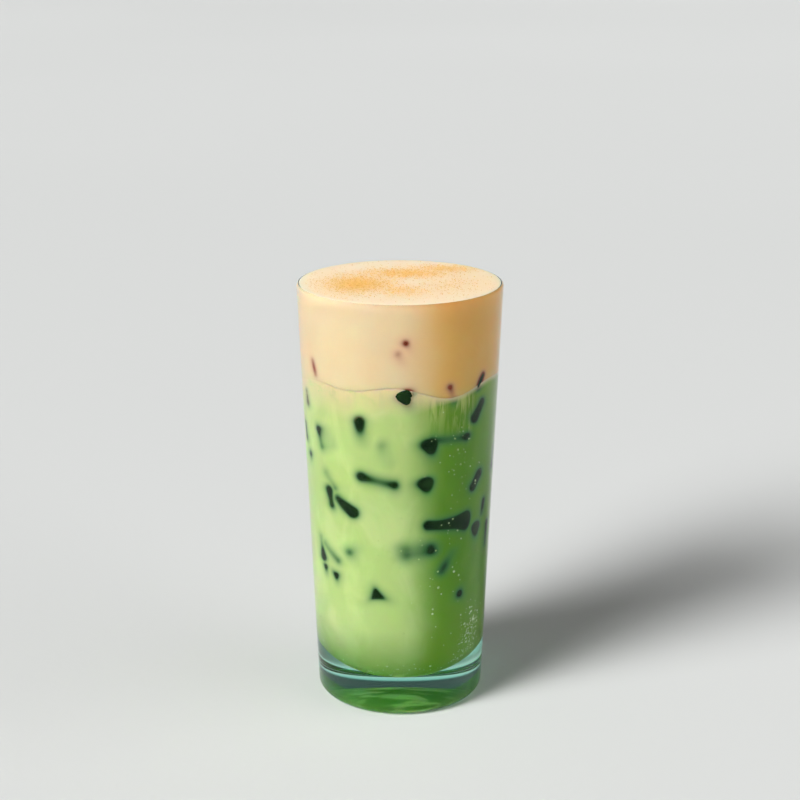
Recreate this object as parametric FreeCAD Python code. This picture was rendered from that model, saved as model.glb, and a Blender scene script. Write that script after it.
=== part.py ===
import FreeCAD, Part
import math
import os

# An iced matcha latte in a tall tumbler that widens a little towards its rim. All sizes are in mm.
# +Z runs up the axis of the glass, and the origin is the centre of the plane that it stands on.

# The glass: a wall that thickens from the rim down to a solid base. Its heel and rim are rounded, its
# floor is a deep bowl, and a dome is pressed into the underside, so that it stands on a narrow ring.
glass_height = 156.0
rim_radius = 37.0
foot_radius = 30.7
rim_wall_thickness = 2.0
foot_wall_thickness = 4.5
base_thickness = 9.2
heel_radius = 3.4
floor_corner_radius = 25.5
least_floor_flat_radius = 0.5
rim_flat = 0.2
ring_width = 0.8
dome_height = 4.5

# The milk foam: a cap that fills the glass from the drink up, and stands level with the rim.
foam_depth = 32.0
foam_edge_drop = 1.0
foam_crown = 1.5

# The surface that drink and foam share: short ripples and a long swell, deepest at the wall.
ripple_height = 1.3
ripple_count = 6
swell_height = 1.4
swell_count = 3
swell_turn_deg = 60.0
boundary_margin = 4.0
boundary_points = 19

axis = FreeCAD.Vector(0, 0, 1)
origin = FreeCAD.Vector(0, 0, 0)
full_turn_deg = 360
taper = math.atan2(rim_radius - foot_radius, glass_height)
drink_level = glass_height - foam_depth
foam_edge_height = glass_height - foam_edge_drop


def inner_radius(height):
    """Radius of the inside of the wall, whose straight line runs from the foot's to the rim's."""
    at_rim = rim_radius - rim_wall_thickness
    at_foot = foot_radius - foot_wall_thickness
    return at_foot + (at_rim - at_foot) * height / glass_height


def floor_rounding():
    """Radius of the floor's corner, held to what leaves the least flat in the middle of the floor."""
    wall_lean = math.atan2(inner_radius(glass_height) - inner_radius(0), glass_height)
    room = inner_radius(base_thickness) - least_floor_flat_radius
    return min(floor_corner_radius, room * math.tan((math.pi / 2 + wall_lean) / 2))


def rounded_corner(before, corner, after, radius):
    """First, middle and last point of the arc that rounds a corner between two straight stretches."""
    backward = (before - corner).normalize()
    forward = (after - corner).normalize()
    half_angle = backward.getAngle(forward) / 2
    setback = radius / math.tan(half_angle)
    inward = (backward + forward).normalize()
    centre = corner + inward * (radius / math.sin(half_angle))
    return corner + backward * setback, centre - inward * radius, corner + forward * setback


def turned(outline):
    """Solid turned about the axis from a closed half outline of (radius, height, rounding) corners."""
    corners = [FreeCAD.Vector(radius, 0, height) for radius, height, rounding in outline]
    stretches = []
    for index, (radius, height, rounding) in enumerate(outline):
        if rounding:
            following = corners[(index + 1) % len(corners)]
            stretches.append(rounded_corner(corners[index - 1], corners[index], following, rounding))
        else:
            stretches.append((corners[index],))
    edges = []
    for stretch, following in zip(stretches, stretches[1:] + stretches[:1]):
        if len(stretch) > 1:
            edges.append(Part.Arc(*stretch).toShape())
        edges.append(Part.LineSegment(stretch[-1], following[0]).toShape())
    return Part.Face(Part.Wire(edges)).revolve(origin, axis, full_turn_deg)


def cap_ball(edge_radius, edge_height, rise):
    """Ball whose top cap rises by a given amount over a level circle."""
    radius = (edge_radius ** 2 + rise ** 2) / (2 * rise)
    return Part.makeSphere(radius, FreeCAD.Vector(0, 0, edge_height + rise - radius))


def make_glass():
    """Tumbler with its outer wall, rounded rim, inner wall, bowl-shaped floor and domed underside."""
    rim_rounding = (rim_wall_thickness - rim_flat) / 2
    body = turned([
        (0, 0, 0),
        (foot_radius, 0, heel_radius),
        (rim_radius, glass_height, rim_rounding),
        (inner_radius(glass_height), glass_height, rim_rounding),
        (inner_radius(base_thickness), base_thickness, floor_rounding()),
        (0, base_thickness, 0),
    ])
    heel_setback = heel_radius * math.tan((math.pi / 2 - taper) / 2)
    dome_radius = foot_radius - heel_setback - ring_width
    return body.cut(cap_ball(dome_radius, 0, dome_height))


def make_filling():
    """Everything inside the glass, from its floor up to the crowned top of the foam."""
    column_top = foam_edge_height + foam_crown
    column = turned([
        (0, base_thickness, 0),
        (inner_radius(base_thickness), base_thickness, floor_rounding()),
        (inner_radius(column_top), column_top, 0),
        (0, column_top, 0),
    ])
    return column.common(cap_ball(inner_radius(foam_edge_height), foam_edge_height, foam_crown))


def boundary_height(x, y):
    """Height of the surface between drink and foam, which is calm at the axis."""
    towards_wall = (x ** 2 + y ** 2) / inner_radius(drink_level) ** 2
    bearing = math.atan2(x, -y)
    ripple = ripple_height * math.cos(ripple_count * bearing)
    swell = swell_height * math.cos(swell_count * bearing + math.radians(swell_turn_deg))
    return drink_level + towards_wall * (ripple + swell)


def make_space_below_foam():
    """Block that is wider than the glass, from under its floor up to the uneven boundary."""
    reach = inner_radius(drink_level) + boundary_margin
    steps = [reach * (2 * index / (boundary_points - 1) - 1) for index in range(boundary_points)]
    grid = [[FreeCAD.Vector(x, y, boundary_height(x, y)) for y in steps] for x in steps]
    surface = Part.BSplineSurface()
    surface.interpolate(grid)
    return surface.toShape().extrude(axis * -glass_height)


def save(shape, node):
    """Write one node's solid to its own file."""
    shape.exportStep("parts/" + node + ".step")


os.makedirs("parts", exist_ok=True)
filling = make_filling()
below_foam = make_space_below_foam()
save(make_glass(), "glass")
save(filling.common(below_foam), "matcha")
save(filling.cut(below_foam), "foam")
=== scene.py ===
import math
import random

import bmesh
import bpy
import numpy as np
from mathutils import Matrix, Vector


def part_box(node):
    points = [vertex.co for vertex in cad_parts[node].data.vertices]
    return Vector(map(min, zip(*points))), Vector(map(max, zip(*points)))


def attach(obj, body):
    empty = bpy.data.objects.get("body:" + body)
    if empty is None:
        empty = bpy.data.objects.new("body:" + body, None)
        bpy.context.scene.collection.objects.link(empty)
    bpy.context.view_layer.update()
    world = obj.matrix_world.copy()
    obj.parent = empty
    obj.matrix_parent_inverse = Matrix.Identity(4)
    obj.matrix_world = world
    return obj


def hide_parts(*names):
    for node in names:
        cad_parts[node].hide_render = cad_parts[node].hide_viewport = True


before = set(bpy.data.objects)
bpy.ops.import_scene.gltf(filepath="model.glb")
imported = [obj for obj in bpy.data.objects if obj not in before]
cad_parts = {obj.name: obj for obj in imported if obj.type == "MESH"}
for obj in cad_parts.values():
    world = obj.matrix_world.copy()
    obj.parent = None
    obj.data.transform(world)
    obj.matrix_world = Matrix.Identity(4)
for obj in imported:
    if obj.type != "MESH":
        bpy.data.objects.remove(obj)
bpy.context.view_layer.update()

# The camera stands in front of the glass and a little above its rim, and looks gently down at it
# through a long lens, so that the wall of the glass stays nearly straight.
camera_distance = 0.6017
camera_height = 0.2933
camera_pitch_deg = 16.782
camera = bpy.data.objects.new("camera", bpy.data.cameras.new("camera"))
camera.data.lens = 77.67
camera.location = (0, -camera_distance, camera_height)
camera.rotation_euler = (math.radians(90 - camera_pitch_deg), 0, 0)
bpy.context.collection.objects.link(camera)
bpy.context.scene.camera = camera
bpy.context.scene.view_settings.view_transform = "Standard"


# The table is a wide pale board under the glass, matt and very slightly mottled. It only takes the
# shadow, and isn't part of the drink.
def new_material(name, roughness):
    """Plain material, with its nodes, its links and the shader that they all meet in."""
    material = bpy.data.materials.new(name)
    material.use_nodes = True
    nodes = material.node_tree.nodes
    shader = nodes["Principled BSDF"]
    shader.inputs["Roughness"].default_value = roughness
    return material, nodes, material.node_tree.links, shader


def mottled(nodes, links, scale, colours, where=None):
    """Soft cloudy change between colours, each given as (place on the noise, colour)."""
    clouds = nodes.new("ShaderNodeTexNoise")
    clouds.inputs["Scale"].default_value = scale
    if where:
        links.new(where, clouds.inputs["Vector"])
    ramp = nodes.new("ShaderNodeValToRGB")
    for element, (place, colour) in zip(ramp.color_ramp.elements, colours):
        element.position = place
        element.color = (*colour, 1)
    links.new(clouds.outputs["Fac"], ramp.inputs["Fac"])
    return ramp.outputs["Color"]


def mixed(nodes, links, share, colour_a, colour_b):
    """Blend of two colours, each a socket or three numbers, by a share that is a socket."""
    mix = nodes.new("ShaderNodeMix")
    mix.data_type = "RGBA"
    links.new(share, mix.inputs["Factor"])
    for name, colour in (("A", colour_a), ("B", colour_b)):
        if isinstance(colour, tuple):
            mix.inputs[name].default_value = (*colour, 1)
        else:
            links.new(colour, mix.inputs[name])
    return mix.outputs["Result"]


def new_piece(name, mesh, material):
    """Object for one piece, linked into the scene with its material."""
    piece = bpy.data.objects.new(name, mesh)
    mesh.materials.append(material)
    bpy.context.collection.objects.link(piece)
    return piece


def seen_by_eye(nodes, links):
    """One for what the eye sees, straight, mirrored or through glass, and nought for light that spreads."""
    path = nodes.new("ShaderNodeLightPath")
    seen = path.outputs["Is Camera Ray"]
    for kind in ("Is Glossy Ray", "Is Transmission Ray"):
        either = nodes.new("ShaderNodeMath")
        either.operation = "MAXIMUM"
        links.new(seen, either.inputs[0])
        links.new(path.outputs[kind], either.inputs[1])
        seen = either.outputs["Value"]
    return seen


table_half_width = 6.0
board_colours = [(0.3, (0.66, 0.67, 0.66)), (0.7, (0.69, 0.70, 0.69))]
board_to_spread_light = (0.36, 0.37, 0.36)
table_mesh = bpy.data.meshes.new("table")
table_corners = [(-1, -1), (1, -1), (1, 1), (-1, 1)]
table_places = [(x * table_half_width, y * table_half_width, 0) for x, y in table_corners]
table_mesh.from_pydata(table_places, [], [(0, 1, 2, 3)])
table_material, nodes, links, shader = new_material("table_board", 0.85)
shader.inputs["Specular IOR Level"].default_value = 0.2
board_colour = mottled(nodes, links, 6.0, board_colours)
board_shown = mixed(nodes, links, seen_by_eye(nodes, links), board_to_spread_light, board_colour)
links.new(board_shown, shader.inputs["Base Color"])
table = new_piece("table", table_mesh, table_material)

# The light is a bank of four soft lamps at the front left and a weaker low one at the right, in a
# dim room. To the eye, and through the glass, the room is plain white low down and dim overhead.
room_glow = 0.10
backdrop_low = 0.72
backdrop_high = 0.10
backdrop_fades = (0.15, 0.32)


def ramped(nodes, links, value, low, high, start=0.0, end=1.0, kind="LINEAR"):
    """Number that goes from a start to an end while a value goes from low to high."""
    ramp = nodes.new("ShaderNodeMapRange")
    ramp.interpolation_type = kind
    ramp.inputs["From Min"].default_value = low
    ramp.inputs["From Max"].default_value = high
    ramp.inputs["To Min"].default_value = start
    ramp.inputs["To Max"].default_value = end
    links.new(value, ramp.inputs["Value"])
    return ramp.outputs["Result"]


def height_in(nodes, links, where):
    """Upward part of a place or a direction."""
    axes = nodes.new("ShaderNodeSeparateXYZ")
    links.new(where, axes.inputs["Vector"])
    return axes.outputs["Z"]


world = bpy.data.worlds.new("room")
world.use_nodes = True
bpy.context.scene.world = world
nodes = world.node_tree.nodes
links = world.node_tree.links
room = nodes["Background"]
room.inputs["Color"].default_value = (1, 1, 1, 1)
looking_up = height_in(nodes, links, nodes.new("ShaderNodeTexCoord").outputs["Generated"])
backdrop = ramped(nodes, links, looking_up, *backdrop_fades, backdrop_low, backdrop_high, "SMOOTHSTEP")
room_shown = nodes.new("ShaderNodeMix")
room_shown.data_type = "FLOAT"
room_shown.inputs["A"].default_value = room_glow
links.new(backdrop, room_shown.inputs["B"])
links.new(seen_by_eye(nodes, links), room_shown.inputs["Factor"])
links.new(room_shown.outputs["Result"], room.inputs["Strength"])


def hang_lamp(name, strength, width_deg, bearing_deg, height_deg):
    """Soft far lamp at a bearing from the front and a height above the table."""
    lamp = bpy.data.lights.new(name, "SUN")
    lamp.energy = strength
    lamp.angle = math.radians(width_deg)
    holder = bpy.data.objects.new(name, lamp)
    holder.rotation_euler = (math.radians(90 - height_deg), 0, math.radians(bearing_deg))
    holder.visible_glossy = False
    bpy.context.collection.objects.link(holder)


key_bearing_deg = -52.0
key_height_deg = 30.0
key_spread_deg = 4.0
key_strength = 1.35
for lamp_number, (across, above) in enumerate([(-1, -1), (1, -1), (1, 1), (-1, 1)]):
    bearing_deg = key_bearing_deg + across * key_spread_deg
    height_deg = key_height_deg + above * key_spread_deg
    hang_lamp(f"key_lamp_{lamp_number}", key_strength, 24, bearing_deg, height_deg)
hang_lamp("fill_lamp", 1.9, 70, 75, 8)

# The glass is a pressed tumbler of clear soda glass with a faint sea-green tint. It is turned about
# its axis: a rounded heel, a plain tapered wall, a rounded rim, a bowl-shaped floor over a thick
# base, and a shallow dome in its underside that leaves a ring to stand on.
glass_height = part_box("glass")[1].z
rim_radius = 0.0370
foot_radius = 0.0307
wall_thickness = 0.002
base_thickness = 0.0092
heel_radius = 0.0034
floor_corner_radius = 0.0255
rim_flat = 0.0002
ring_width = 0.0008
dome_height = 0.0045
foot_wall_thickness = 0.0045
taper = math.atan2(rim_radius - foot_radius, glass_height)
glass_turns = 192
# The glass is tinted by height: faintly sea-green at the foot, and a stronger band low in the base that is
# partly the thick glass's own tint and partly painted, standing for dark surroundings seen through the
# base.
glass_tints_and_dark_band = [
    # share of twice the base's thickness, going up, and colour
    (0.18, (0.80, 0.97, 0.86)),
    (0.27, (0.50, 0.90, 0.80)),
    (0.47, (0.50, 0.90, 0.80)),
    (0.62, (0.97, 0.995, 0.985)),
]


def inner_radius(height):
    """Radius of the inside of the wall, which thickens from the rim down to the foot."""
    rim = rim_radius - wall_thickness
    foot = foot_radius - foot_wall_thickness
    return foot + (rim - foot) * height / glass_height


def rounded(before, corner, after, radius, steps):
    """Points of the arc that rounds a corner of a half outline."""
    backward = (before - corner).normalized()
    forward = (after - corner).normalized()
    half_angle = backward.angle(forward) / 2
    inward = (backward + forward).normalized()
    centre = corner + inward * (radius / math.sin(half_angle))
    start = corner + backward * (radius / math.tan(half_angle)) - centre
    end = corner + forward * (radius / math.tan(half_angle)) - centre
    sweep = math.pi - 2 * half_angle
    arc = []
    for step in range(steps + 1):
        from_start = math.sin(sweep * (1 - step / steps)) / math.sin(sweep)
        from_end = math.sin(sweep * step / steps) / math.sin(sweep)
        arc.append(centre + start * from_start + end * from_end)
    return arc


def stretch(start, end, steps):
    """Points between two corners, without the corners themselves."""
    return [start.lerp(end, step / steps) for step in range(1, steps)]


def turned(name, outline, turns):
    """Mesh turned about the axis from a half outline that starts and ends on the axis."""
    ring_count = len(outline) - 2
    vertices = [(0, 0, outline[0].y)]
    for point in outline[1:-1]:
        for turn in range(turns):
            bearing = 2 * math.pi * turn / turns
            vertices.append((point.x * math.sin(bearing), -point.x * math.cos(bearing), point.y))
    vertices.append((0, 0, outline[-1].y))
    faces = []
    for turn in range(turns):
        beside = (turn + 1) % turns
        faces.append((0, 1 + beside, 1 + turn))
        for ring in range(ring_count - 1):
            low = 1 + ring * turns
            high = low + turns
            faces.append((low + turn, low + beside, high + beside, high + turn))
        top = 1 + (ring_count - 1) * turns
        faces.append((top + turn, top + beside, len(vertices) - 1))
    mesh = bpy.data.meshes.new(name)
    mesh.from_pydata(vertices, [], faces)
    mesh.shade_smooth()
    mesh.set_sharp_from_angle(angle=math.radians(40))
    return mesh


def glass_outline():
    """Half outline from the dome of the underside, out and up to the rim, and down to the floor."""
    heel_setback = heel_radius * math.tan((math.pi / 2 - taper) / 2)
    dome_radius = foot_radius - heel_setback - ring_width
    ball = (dome_radius ** 2 + dome_height ** 2) / (2 * dome_height)
    dome = []
    for step in range(25):
        out = dome_radius * step / 24
        dome.append(Vector((out, math.sqrt(ball ** 2 - out ** 2) - ball + dome_height)))
    rim_rounding = (wall_thickness - rim_flat) / 2
    heel = Vector((foot_radius, 0))
    outer_rim = Vector((rim_radius, glass_height))
    inner_rim = Vector((inner_radius(glass_height), glass_height))
    floor_corner = Vector((inner_radius(base_thickness), base_thickness))
    centre = Vector((0, base_thickness))
    heel_arc = rounded(Vector((0, 0)), heel, outer_rim, heel_radius, 16)
    outer_arc = rounded(heel, outer_rim, inner_rim, rim_rounding, 8)
    inner_arc = rounded(outer_rim, inner_rim, floor_corner, rim_rounding, 8)
    floor_arc = rounded(inner_rim, floor_corner, centre, floor_corner_radius, 20)
    outer_wall = stretch(heel_arc[-1], outer_arc[0], 40)
    inner_wall = stretch(inner_arc[-1], floor_arc[0], 40)
    bottom = stretch(floor_arc[-1], centre, 12)
    return dome + heel_arc + outer_wall + outer_arc + inner_arc + inner_wall + floor_arc + bottom + [centre]


def banded(nodes, links, height, top, bands):
    """Colour that changes with height, each given as (share of the way to the top, colour)."""
    ramp = nodes.new("ShaderNodeValToRGB")
    elements = ramp.color_ramp.elements
    elements.remove(elements[1])
    for number, (place, colour) in enumerate(bands):
        element = elements.new(place) if number else elements[0]
        element.position = place
        element.color = (*colour, 1)
    links.new(ramped(nodes, links, height, 0, top), ramp.inputs["Fac"])
    return ramp.outputs["Color"]


glass_material, nodes, links, shader = new_material("clear_glass", 0.0)
shader.inputs["IOR"].default_value = 1.52
shader.inputs["Transmission Weight"].default_value = 1.0
# The glass's reflections are dimmed and tinted sea-green: a painted reflection of dark green surroundings,
# which darkens the band mirrored in the base to teal.
shader.inputs["Specular Tint"].default_value = (0.10, 0.32, 0.22, 1)
height = height_in(nodes, links, nodes.new("ShaderNodeTexCoord").outputs["Object"])
sea_green_and_dark_band = banded(nodes, links, height, 2 * base_thickness, glass_tints_and_dark_band)
links.new(sea_green_and_dark_band, shader.inputs["Base Color"])
depth = nodes.new("ShaderNodeVolumeAbsorption")
depth.inputs["Color"].default_value = (0.05, 0.72, 0.58, 1)
depth.inputs["Density"].default_value = 15
links.new(depth.outputs["Volume"], nodes["Material Output"].inputs["Volume"])
glass = new_piece("tumbler", turned("tumbler", glass_outline(), glass_turns), glass_material)
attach(glass, "root")
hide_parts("glass")

# The ice is sixty cubes from a tray, worn round and uneven by the drink. They crowd against
# the glass, and each shows only where a corner, an edge or a side of it presses on the wall.
milk_skin = 0.00012
ice_seat = 1.4 * milk_skin
ice_wear = 0.00035
wave_number = 520
ice_cubes = [
    # bearing, height, (depth, breadth, tallness), rounding, turn, lean, roll, press
    (2.5, 123.4, (14, 16, 13), 2.4, 40, 26, 24, 1.5),
    (-24.8, 113.6, (12, 12, 13), 2.6, 45, 15, 8, 0.6),
    (-11, 105.0, (12, 12, 12), 3.0, 45, 10, 12, -0.4),
    (-58, 105.2, (10, 9, 9), 1.6, 20, 4, 16, 0.45),
    (28, 106.5, (14, 18, 14), 2.6, 3, 42, -7, -0.3),
    (18.5, 104.9, (10, 10, 10), 2.6, 45, 32, 10, 1.5),
    (55.5, 115.6, (12, 12, 11), 2.4, 45, 3, -35, 1.0),
    (56, 126.3, (11, 11, 9), 2.0, 45, 4, -35, 0.35),
    (30.5, 125.5, (9, 9, 9), 1.6, 45, 12, 14, 0.35),
    (-18.5, 92.4, (13, 16, 13), 2.6, 4, 38, -14, 0.0),
    (-45.5, 86.8, (10, 10, 9), 1.6, 45, -6, 42, 0.25),
    (-50, 83.4, (11, 11, 9), 2.0, 45, 4, 8, 0.7),
    (-34, 79.6, (11, 11, 12), 2.4, 45, -4, 52, 0.5),
    (16.3, 90.6, (12, 12, 12), 2.2, 55, 26, 10, 1.0),
    (56.5, 88.3, (12, 12, 9.5), 2.2, 45, 2, -38, 0.8),
    (24.3, 74.6, (14, 14, 19), 2.4, 45, 4, 84, 1.0),
    (58, 69.0, (12, 12, 12), 2.8, 45, 30, 0, 1.6),
    (-62.5, 60.8, (11, 11, 10), 1.4, 45, 0, 10, 0.25),
    (-50, 59.8, (10, 10, 11), 1.6, 45, -2, 50, -0.25),
    (-36, 62.6, (12, 13, 12), 2.6, 38, 30, 20, 0.35),
    (4.5, 65.0, (12, 17, 12), 5.3, 11, 0, 4, 0.3),
    (35, 61.5, (12, 12, 13), 2.4, 45, 4, -28, -0.3),
    (-16, 47.4, (12, 12, 12), 0.8, 45, -33, 10, 1.7),
    (45, 45.1, (12, 12, 12), 2.0, 45, 30, 50, 0.8),
    (-72, 117.5, (9, 9, 7), 1.4, 45, 3, 8, 0.3),
    (-79, 104.0, (9, 9, 8), 1.6, 45, 3, 6, 0.2),
    (-72, 95.0, (9, 9, 9), 1.6, 45, 25, 6, 0.2),
    (81, 95.0, (11, 11, 10), 1.6, 45, 5, -6, 0.3),
    (66, 76.8, (9, 9, 8), 1.4, 45, 3, -14, 0.15),
    (75, 65.4, (11, 11, 11), 1.6, 45, 3, -4, 0.5),
    (-48, 52.0, (5, 5, 5), 0.8, 45, 35, 0, 0.55),
    (-59, 53.5, (4, 4, 4), 0.8, 45, 35, 0, 0.2),
    (3.5, 142.6, (8, 8, 8), 2.0, 45, 30, 30, 0.55),
    (-1, 138.8, (7, 7, 7), 2.0, 45, 20, 30, 0.0),
    (-60, 130.4, (8, 8, 8), 1.4, 45, 3, 14, 0.0),
]


def set_cube(bearing, height, size, rounding, turn, lean, roll, press):
    """Middle, axes, inner half size and rounding of a cube that presses on the wall at a place."""
    around = math.radians(bearing)
    outward = np.array((math.sin(around), -math.cos(around), 0))
    right = np.array((math.cos(around), math.sin(around), 0))
    up = np.array((0, 0, 1.0))
    twist = Matrix.Rotation(math.radians(roll), 3, "X") @ Matrix.Rotation(math.radians(lean), 3, "Y")
    twist = twist @ Matrix.Rotation(math.radians(turn), 3, "Z")
    axes = np.column_stack((outward, right, up)) @ np.array(twist)
    rounding = rounding * 0.001
    half = np.array(size) * 0.0005 - rounding
    facing = axes.T @ outward
    reach = np.abs(facing) @ half + rounding
    touch = axes @ (np.clip(facing / 0.12, -1, 1) * half + rounding * facing)
    place = outward * (inner_radius(height * 0.001) + press * 0.001 - reach) + up * height * 0.001
    return place - (touch - outward * (touch @ outward)), axes, half, rounding


def worn_away(spots, cube_number):
    """How much of a cube is melted off at spots given along its own axes: slow waves, its own each."""
    draw = random.Random(cube_number)
    worn = np.zeros(len(spots))
    for wave in range(4):
        waves = np.array([draw.uniform(-1, 1) for axis in range(3)]) * wave_number
        worn += np.sin(spots @ waves + draw.uniform(0, 6.28))
    return ice_wear * worn / 2


def ice_distance(points, cube_number, cube):
    """Distance from points to the worn surface of a cube, less than nothing inside it."""
    middle, axes, half, rounding = cube
    spots = (points - middle) @ axes
    beyond = np.abs(spots) - half
    distance = np.linalg.norm(np.maximum(beyond, 0), axis=1) + np.minimum(beyond.max(axis=1), 0)
    return distance - rounding + worn_away(spots, cube_number)


draw = random.Random(41)
for row in range(5):
    for place in range(5):
        bearing = 100 + 36 * place + 18 * (row % 2) + draw.uniform(-7, 7)
        height = 48 + 16.5 * row + draw.uniform(-4, 4)
        size = tuple(draw.uniform(10, 15) for side in range(3))
        turn, lean, roll = draw.uniform(25, 65), draw.uniform(-5, 38), draw.uniform(-80, 80)
        rounding, press = draw.uniform(1.6, 2.8), draw.uniform(-0.1, 1.2)
        ice_cubes.append((bearing, height, size, rounding, turn, lean, roll, press))
cubes = [set_cube(*row) for row in ice_cubes]

unit_cube = bmesh.new()
bmesh.ops.create_cube(unit_cube, size=2)
bmesh.ops.subdivide_edges(unit_cube, edges=unit_cube.edges, cuts=13, use_grid_fill=True)
unit_spots = np.array([vertex.co[:] for vertex in unit_cube.verts])
unit_faces = [[vertex.index for vertex in face.verts] for face in unit_cube.faces]
unit_cube.free()


def cube_surface(cube_number, cube):
    """Surface of one worn cube, flattened where it presses on the glass."""
    middle, axes, half, rounding = cube
    box = unit_spots * (half + rounding)
    core = np.clip(box, -half, half)
    leaning = (box - core) / np.linalg.norm(box - core, axis=1)[:, None]
    spots = core + leaning * rounding
    spots = spots - leaning * (worn_away(spots, cube_number) + milk_skin)[:, None]
    points = spots @ axes.T + middle
    from_axis = np.hypot(points[:, 0], points[:, 1])
    wall = inner_radius(points[:, 2]) + ice_seat
    points[:, :2] *= np.minimum(1, wall / from_axis)[:, None]
    return points


ice_points = np.concatenate([cube_surface(number, cube) for number, cube in enumerate(cubes)])
ice_faces = []
for number in range(len(cubes)):
    start = number * len(unit_spots)
    ice_faces += [[start + corner for corner in face] for face in unit_faces]
ice_mesh = bpy.data.meshes.new("ice_cubes")
ice_mesh.from_pydata(ice_points.tolist(), [], ice_faces)
ice_mesh.shade_smooth()
# The clear ice is painted near-black green, and dark red-brown up in the foam: painted shade for the dim
# light seen through the ice into the drink.
ice_shade_greens = [(0.35, (0.004, 0.012, 0.001)), (0.75, (0.022, 0.050, 0.010))]
ice_shade_in_foam = (0.16, 0.030, 0.012)
ice_material, nodes, links, shader = new_material("ice_in_painted_shade", 0.6)
shader.inputs["Specular IOR Level"].default_value = 0.03
where = nodes.new("ShaderNodeTexCoord").outputs["Object"]
ice_shade_green = mottled(nodes, links, 160.0, ice_shade_greens, where)
in_foam = ramped(nodes, links, height_in(nodes, links, where), 0.1265, 0.130)
links.new(mixed(nodes, links, in_foam, ice_shade_green, ice_shade_in_foam), shader.inputs["Base Color"])
ice = new_piece("ice_cubes", ice_mesh, ice_material)
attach(ice, "root")

# The drink is milk stirred with matcha, an opaque soft green that fills the glass to its wall and
# round the ice. Over ice that almost touches the glass it is a thin skin that lets through the painted
# shade of the ice.
drink_level = 0.124
round_points = 400
film_limit = 0.003
ripple_height = 0.0013
swell_height = 0.0014
drink_greens = [
    # share of the way up to the foam, and colour
    (0.10, (0.24, 0.40, 0.015)),
    (0.45, (0.17, 0.37, 0.015)),
    (0.88, (0.20, 0.39, 0.020)),
    (0.97, (0.26, 0.42, 0.035)),
]


def boundary_rise(points):
    """How far the top of the drink stands above its level under the foam: six ripples, three swells."""
    around = np.arctan2(points[:, 0], -points[:, 1])
    share = (points[:, 0] ** 2 + points[:, 1] ** 2) / inner_radius(drink_level) ** 2
    swell = swell_height * np.cos(3 * around + math.radians(60))
    return share * (ripple_height * np.cos(6 * around) + swell)


def mesh_points(mesh):
    """Places of a mesh's points, as rows."""
    places = np.empty(len(mesh.vertices) * 3)
    mesh.vertices.foreach_get("co", places)
    return places.reshape(-1, 3)


def note(mesh, name, values):
    """Keep one number for each point of a mesh under a name that the material reads."""
    mesh.attributes.new(name, "FLOAT", "POINT").data.foreach_set("value", values.astype(np.float32))


def milk_and_light_share(points):
    """Share of the paler, lit colour at points, most at the left and least at the right: painted light, lit
    at the left and shaded at the right, and in the drink partly milk that ran down at the left.
    """
    aside = points[:, 0] / np.maximum(0.001, np.hypot(points[:, 0], points[:, 1]))
    share = np.clip((0.53 - aside) / 0.55, 0, 1)
    return share * share * (3 - 2 * share)


def film_over_ice(points):
    """Thickness, in millimetres, of what lies between points on the wall and the nearest ice."""
    film = np.full(len(points), film_limit)
    for number, cube in enumerate(cubes):
        near = np.flatnonzero(np.linalg.norm(points - cube[0], axis=1) < 0.022)
        film[near] = np.minimum(film[near], ice_distance(points[near], number, cube))
    return film * 1000


def wall_inside(height):
    """Radius of the inside of the glass at a height, with the rounded corner of its floor."""
    centre = Vector((0, base_thickness))
    floor_corner = Vector((inner_radius(base_thickness), base_thickness))
    top = Vector((inner_radius(drink_level), drink_level))
    arc = rounded(centre, floor_corner, top, floor_corner_radius, 60)
    if height >= arc[-1].y:
        return inner_radius(height)
    return min(arc, key=lambda point: abs(point.y - height)).x


def drink_outline():
    """Half outline from the middle of the floor, up the wall and back to the middle of the top."""
    floor_corner = Vector((inner_radius(base_thickness) + milk_skin, base_thickness - milk_skin))
    centre = Vector((0, base_thickness - milk_skin))
    top = Vector((inner_radius(drink_level) + milk_skin, drink_level))
    top_centre = Vector((0, drink_level))
    arc = rounded(centre, floor_corner, top, floor_corner_radius, 34)
    wall = stretch(arc[-1], top, 168)
    return [centre] + arc + wall + [top] + stretch(top, top_centre, 8) + [top_centre]


streak_runs = [
    # bearing, spread in degrees, length in millimetres: where foam runs down into the drink
    (22, 7, 15),
    (38, 8, 17),
    (46, 4, 22),
    (8, 5, 7),
    (-12, 7, 9),
    (-38, 12, 7),
    (118, 12, 15),
    (165, 16, 9),
    (214, 10, 17),
    (262, 12, 10),
]
drink_mesh = turned("matcha_milk", drink_outline(), round_points)
points = mesh_points(drink_mesh)
blend_height = 0.014
rising = np.clip((points[:, 2] - drink_level + blend_height) / blend_height, 0, 1)
points[:, 2] += boundary_rise(points) * rising ** 2
drink_mesh.vertices.foreach_set("co", points.ravel())
note(drink_mesh, "film", film_over_ice(points))
around = np.degrees(np.arctan2(points[:, 0], -points[:, 1]))
below_foam = drink_level + boundary_rise(points) - points[:, 2]
clear_foot = 0.024
# The drink is paler at the left and a deeper green at the right, partly milk that ran down and partly
# painted light and shade; at its foot it stays the deeper green.
milk_and_light = milk_and_light_share(points) * np.clip((points[:, 2] - base_thickness) / clear_foot, 0, 1)
note(drink_mesh, "milk_and_light", milk_and_light)
haze_depth = 0.002 + 0.009 * milk_and_light
note(drink_mesh, "haze", np.clip(1 - below_foam / haze_depth, 0, 1))
streaks = np.zeros(len(points))
for bearing, spread, length in streak_runs:
    beside = (around - bearing + 180) % 360 - 180
    run = np.exp(-(beside / spread) ** 2) * np.clip(1 - below_foam / (length * 0.001), 0, 1)
    streaks = np.maximum(streaks, run)
note(drink_mesh, "streaks", streaks)

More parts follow.
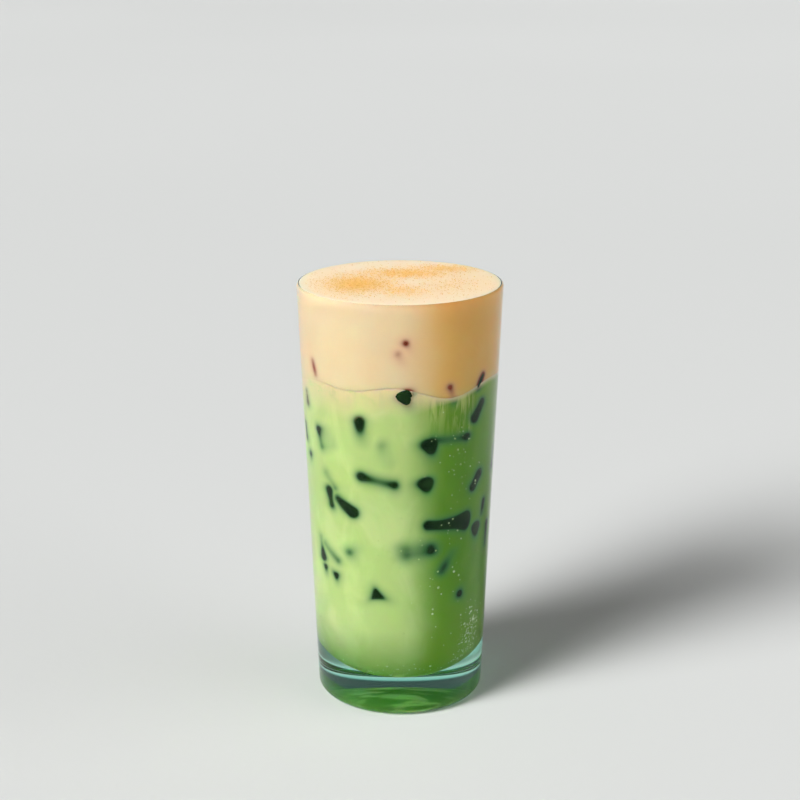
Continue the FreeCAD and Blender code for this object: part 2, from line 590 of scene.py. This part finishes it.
drink_material, nodes, links, shader = new_material("matcha_milk", 0.5)
shader.inputs["Specular IOR Level"].default_value = 0.1
shader.inputs["Subsurface Weight"].default_value = 1.0
shader.inputs["Subsurface Radius"].default_value = (0.5, 1.0, 0.2)
shader.inputs["Subsurface Scale"].default_value = 0.0008
where = nodes.new("ShaderNodeTexCoord").outputs["Object"]
height = height_in(nodes, links, where)
settled = banded(nodes, links, height, drink_level, drink_greens)


def product(nodes, links, first, second):
    """Share that is the product of two, of which the second may be a number."""
    step = nodes.new("ShaderNodeMath")
    step.operation = "MULTIPLY"
    links.new(first, step.inputs[0])
    if isinstance(second, float):
        step.inputs[1].default_value = second
    else:
        links.new(second, step.inputs[1])
    return step.outputs["Value"]


def threads(nodes, links, where, stretch_by, scale, low, high):
    """Fine threads or swirls: noise pulled out along each axis, and sharpened."""
    pull = nodes.new("ShaderNodeMapping")
    pull.inputs["Scale"].default_value = stretch_by
    links.new(where, pull.inputs["Vector"])
    grain = nodes.new("ShaderNodeTexNoise")
    grain.inputs["Scale"].default_value = scale
    grain.inputs["Detail"].default_value = 4
    grain.inputs["Distortion"].default_value = 0.6
    links.new(pull.outputs["Vector"], grain.inputs["Vector"])
    return ramped(nodes, links, grain.outputs["Fac"], low, high, kind="SMOOTHSTEP")


def read_note(nodes, name):
    """Number kept on the mesh under a name."""
    reader = nodes.new("ShaderNodeAttribute")
    reader.attribute_name = name
    return reader.outputs["Fac"]


def darkened(nodes, links, colour, film, thickness, tint):
    """Colour that gives way to a tint where a film is thin, by half in about two thirds of a thickness."""
    fading = nodes.new("ShaderNodeMath")
    fading.operation = "POWER"
    fading.use_clamp = True
    fading.inputs[0].default_value = math.exp(-1 / thickness)
    links.new(film, fading.inputs[1])
    return mixed(nodes, links, fading.outputs["Value"], colour, tint)


cloudy = threads(nodes, links, where, (1, 1, 0.6), 90, 0.40, 0.70)
# Pale lit green at the left and deep shaded green at the right: partly the milk in the drink, partly
# painted light and shade.
pale_lit_green = mixed(nodes, links, cloudy, (0.66, 0.76, 0.31), (0.76, 0.83, 0.39))
cloudy_clear = product(nodes, links, cloudy, 0.30)
clear_and_shaded_green = mixed(nodes, links, cloudy_clear, settled, (0.30, 0.48, 0.06))
green = mixed(nodes, links, read_note(nodes, "milk_and_light"), clear_and_shaded_green, pale_lit_green)
in_streak = threads(nodes, links, where, (1, 1, 0.10), 620, 0.44, 0.60)
streaks = read_note(nodes, "streaks")
green = mixed(nodes, links, product(nodes, links, streaks, 0.7), green, (0.19, 0.36, 0.035))
green = mixed(nodes, links, product(nodes, links, in_streak, streaks), green, (0.74, 0.76, 0.28))
in_swirl = threads(nodes, links, where, (0.5, 1.6, 1), 170, 0.46, 0.58)
near_floor = ramped(nodes, links, height, 0.014, 0.011)
green = mixed(nodes, links, product(nodes, links, in_swirl, near_floor), green, (0.90, 0.92, 0.30))
film = read_note(nodes, "film")
# Over ice near the wall the green gives way to teal and then near-black: painted shade of the ice, seen
# through thin milk.
green = darkened(nodes, links, green, film, 1.0, (0.08, 0.28, 0.12))
green = darkened(nodes, links, green, film, 0.30, (0.012, 0.034, 0.005))
haze_patches = threads(nodes, links, where, (1, 1, 1), 150, 0.10, 0.50)
haze = product(nodes, links, haze_patches, read_note(nodes, "haze"))
green = mixed(nodes, links, haze, green, (0.96, 0.77, 0.49))
links.new(green, shader.inputs["Base Color"])
drink = new_piece("matcha_milk", drink_mesh, drink_material)
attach(drink, "root")
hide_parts("matcha")

# The foam is thick cold milk foam, spooned on last. It fills the last third of the glass over the
# drink, meets the green along an uneven line, and stands a little proud of the rim in a low crown.
lip_rounding = (wall_thickness - rim_flat) / 2
lip_radius = rim_radius - wall_thickness / 2
foam_edge_height = glass_height - lip_rounding
crown_top = 0.1565
edge_roll = 0.0001
under_drink = 0.001
# Lit and shaded copies of the cream, painted light and shade: the lit one on top and at the left, a more
# orange one on the shaded right.
lit_creams = [(0.3, (0.98, 0.70, 0.45)), (0.7, (0.99, 0.75, 0.52))]
shade_side_creams = [(0.3, (0.99, 0.53, 0.14)), (0.7, (0.99, 0.59, 0.20))]


def foam_outline():
    """Half outline from the middle of the underside, up the wall, on to the lip and over the crown."""
    underside = Vector((0, drink_level - under_drink))
    low_edge = Vector((inner_radius(drink_level) - 0.0003, drink_level - under_drink))
    low = Vector((inner_radius(drink_level) + milk_skin, drink_level))
    reach = lip_rounding - 0.4 * milk_skin
    on_lip = []
    for step in range(9):
        turn = math.pi * (1 - step / 16)
        out = lip_radius + reach * math.cos(turn)
        on_lip.append(Vector((out, foam_edge_height + reach * math.sin(turn))))
    bead = on_lip[-1] + Vector((0, milk_skin))
    crown = []
    for step in range(56):
        out = 1 - step / 56
        fall = (crown_top - bead.y - edge_roll) * out ** 2 + edge_roll * out ** 24
        crown.append(Vector((bead.x * out, crown_top - fall)))
    wall = stretch(low, on_lip[0], 48)
    top = Vector((0, crown_top))
    return [underside] + stretch(underside, low_edge, 6) + [low_edge, low] + wall + on_lip + crown + [top]


foam_mesh = turned("milk_foam", foam_outline(), round_points)
points = mesh_points(foam_mesh)
rising = np.clip((foam_edge_height - points[:, 2]) / (foam_edge_height - drink_level), 0, 1)
points[:, 2] += boundary_rise(points) * rising ** 2
foam_mesh.vertices.foreach_set("co", points.ravel())
note(foam_mesh, "film", film_over_ice(points))
on_top = points[:, 2] > foam_edge_height
# On the foam this share is painted light only: the top and the lit left take the lit cream, the shaded
# right the more orange one.
note(foam_mesh, "milk_and_light", np.where(on_top, 1, milk_and_light_share(points)))
above_drink = points[:, 2] - drink_level - boundary_rise(points)
note(foam_mesh, "above_drink", above_drink * 1000)
dust_patches = [
    # right, back, half width, half depth in millimetres, and how thick the dust lies there
    (-15.5, -6, 11, 13, 1.0),
    (-22, -2, 7, 9, 0.6),
    (2, 12, 14, 8, 0.8),
    (17, 20, 12, 6, 0.7),
    (1, -16, 9, 8, 0.5),
    (18, -8, 12, 14, 0.2),
]


def dust_at(right, back):
    """How thickly the dust lies on the foam at a place, from nought to one."""
    thick = 0
    for middle_right, middle_back, half_width, half_depth, most in dust_patches:
        aside = (right * 1000 - middle_right) / half_width
        behind = (back * 1000 - middle_back) / half_depth
        thick = max(thick, most * math.exp(-aside ** 2 - behind ** 2))
    return thick


dusting = np.array([dust_at(right, back) for right, back, height in points])
note(foam_mesh, "dusting", np.where(points[:, 2] > glass_height - 0.0002, dusting, 0))
foam_material, nodes, links, shader = new_material("milk_foam", 0.6)
shader.inputs["Specular IOR Level"].default_value = 0.2
shader.inputs["Subsurface Weight"].default_value = 1.0
shader.inputs["Subsurface Radius"].default_value = (1.0, 0.6, 0.35)
shader.inputs["Subsurface Scale"].default_value = 0.003
where = nodes.new("ShaderNodeTexCoord").outputs["Object"]
lit_cream = mottled(nodes, links, 60.0, lit_creams, where)
shade_side_cream = mottled(nodes, links, 60.0, shade_side_creams, where)
cream = mixed(nodes, links, read_note(nodes, "milk_and_light"), shade_side_cream, lit_cream)
haze_patches = threads(nodes, links, where, (1, 1, 0.5), 130, 0.30, 0.65)
near_drink = ramped(nodes, links, read_note(nodes, "above_drink"), 3.0, 0.0, 0.0, 0.4)
haze = product(nodes, links, haze_patches, near_drink)
cream = mixed(nodes, links, haze, cream, (0.80, 0.76, 0.36))
film = read_note(nodes, "film")
# Over ice near the wall the cream gives way to red-brown and then near-black: painted shade of the ice,
# seen through thin foam.
cream = darkened(nodes, links, cream, film, 0.8, (0.80, 0.46, 0.30))
cream = darkened(nodes, links, cream, film, 0.28, (0.30, 0.04, 0.02))
dusted = product(nodes, links, read_note(nodes, "dusting"), 0.95)
cream = mixed(nodes, links, dusted, cream, (0.93, 0.52, 0.14))
links.new(cream, shader.inputs["Base Color"])
foam = new_piece("milk_foam", foam_mesh, foam_material)
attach(foam, "root")
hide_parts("foam")

# The dust on the foam is ground golden-brown spice, shaken over it by hand, so it lies in a few
# loose drifts with stray grains between them. Each grain is a tiny chip half sunk in the foam.
grain_count = 5200
stray_share = 0.03
dusted_radius = 0.0345
spice_colours = [(0.35, (0.72, 0.36, 0.06)), (0.65, (0.90, 0.58, 0.18))]
smallest_grain = 0.00006
largest_grain = 0.00017
grain_shape = [(1, 1, 1), (-1, -1, 1), (-1, 1, -1), (1, -1, -1)]
grain_sides = [(0, 2, 1), (0, 1, 3), (0, 3, 2), (1, 2, 3)]


def crown_height(right, back):
    """Height of the top of the foam over a place."""
    out = min(1, math.hypot(right, back) / lip_radius)
    return crown_top - (crown_top - glass_height - edge_roll) * out ** 2


draw = random.Random(7)
grain_points = []
grain_faces = []
grains = 0
while grains < grain_count:
    out, bearing = dusted_radius * math.sqrt(draw.random()), draw.uniform(0, 2 * math.pi)
    right, back = out * math.cos(bearing), out * math.sin(bearing)
    if draw.random() > dust_at(right, back) + stray_share:
        continue
    size = draw.uniform(smallest_grain, largest_grain)
    middle = Vector((right, back, crown_height(right, back) + 0.2 * size))
    spin = Matrix.Rotation(draw.uniform(0, 6.28), 3, Vector((draw.random(), draw.random(), 1)))
    start = len(grain_points)
    grain_points += [middle + size * (spin @ Vector(corner)) for corner in grain_shape]
    grain_faces += [tuple(start + corner for corner in side) for side in grain_sides]
    grains += 1
grain_mesh = bpy.data.meshes.new("spice_dust")
grain_mesh.from_pydata(grain_points, [], grain_faces)
spice_material, nodes, links, shader = new_material("ground_spice", 0.9)
where = nodes.new("ShaderNodeTexCoord").outputs["Object"]
links.new(mottled(nodes, links, 900.0, spice_colours, where), shader.inputs["Base Color"])
spice = new_piece("spice_dust", grain_mesh, spice_material)
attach(spice, "root")

# The bubbles are air that the shaking left. They cling to the inside of the glass round the foot of
# the drink, thickest on the right, and each is a tiny dome that presses the milk off the wall.
bubble_drifts = [
    # bearing, height, spread in degrees, spread in millimetres, how many
    (60, 27, 6, 5, 220),
    (64, 19, 8, 4, 110),
    (20, 14, 40, 3, 70),
    (-30, 15, 30, 3, 30),
    (30, 60, 14, 26, 70),
    (38, 100, 10, 7, 30),
    (150, 20, 40, 6, 80),
    (250, 24, 40, 8, 80),
    (180, 70, 60, 30, 70),
]
lowest_bubble = 0.0125
smallest_bubble = 0.00014
usual_growth = 0.00011
largest_bubble = 0.00055
bubble_rings = 3
bubble_turns = 8
bubble_flatness = 0.35
bubble_seat = 1.1 * milk_skin
bubble_colours = [(0.35, (0.48, 0.62, 0.20)), (0.65, (0.82, 0.90, 0.56))]
draw = random.Random(19)
bubble_points = []
bubble_faces = []
for bearing_deg, height_mm, spread_deg, spread_mm, count in bubble_drifts:
    for bubble in range(count):
        bearing = math.radians(draw.gauss(bearing_deg, spread_deg))
        height = max(lowest_bubble, (height_mm + draw.gauss(0, spread_mm)) * 0.001)
        size = min(largest_bubble, smallest_bubble + draw.expovariate(1 / usual_growth))
        outward = Vector((math.sin(bearing), -math.cos(bearing), 0))
        right = Vector((math.cos(bearing), math.sin(bearing), 0))
        start = len(bubble_points)
        middle = outward * wall_inside(height) + Vector((0, 0, height))
        for ring in range(bubble_rings):
            tilt = math.pi / 2 * ring / bubble_rings
            for turn in range(bubble_turns):
                angle = 2 * math.pi * turn / bubble_turns
                aside = right * math.cos(angle) + Vector((0, 0, math.sin(angle)))
                rise = size * bubble_flatness * math.sin(tilt) + bubble_seat
                bubble_points.append(middle + aside * size * math.cos(tilt) + outward * rise)
        bubble_points.append(middle + outward * (size * bubble_flatness + bubble_seat))
        for ring in range(bubble_rings):
            for turn in range(bubble_turns):
                beside = (turn + 1) % bubble_turns
                low = start + ring * bubble_turns
                if ring + 1 < bubble_rings:
                    high = low + bubble_turns
                    bubble_faces.append((low + turn, low + beside, high + beside, high + turn))
                else:
                    bubble_faces.append((low + turn, low + beside, len(bubble_points) - 1))
        bubble_faces.append(tuple(start + turn for turn in reversed(range(bubble_turns))))
bubble_mesh = bpy.data.meshes.new("wall_bubbles")
bubble_mesh.from_pydata(bubble_points, [], bubble_faces)
bubble_mesh.shade_smooth()
bubble_material, nodes, links, shader = new_material("bubble_skin", 0.2)
where = nodes.new("ShaderNodeTexCoord").outputs["Object"]
links.new(mottled(nodes, links, 700.0, bubble_colours, where), shader.inputs["Base Color"])
bubbles = new_piece("wall_bubbles", bubble_mesh, bubble_material)
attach(bubbles, "root")
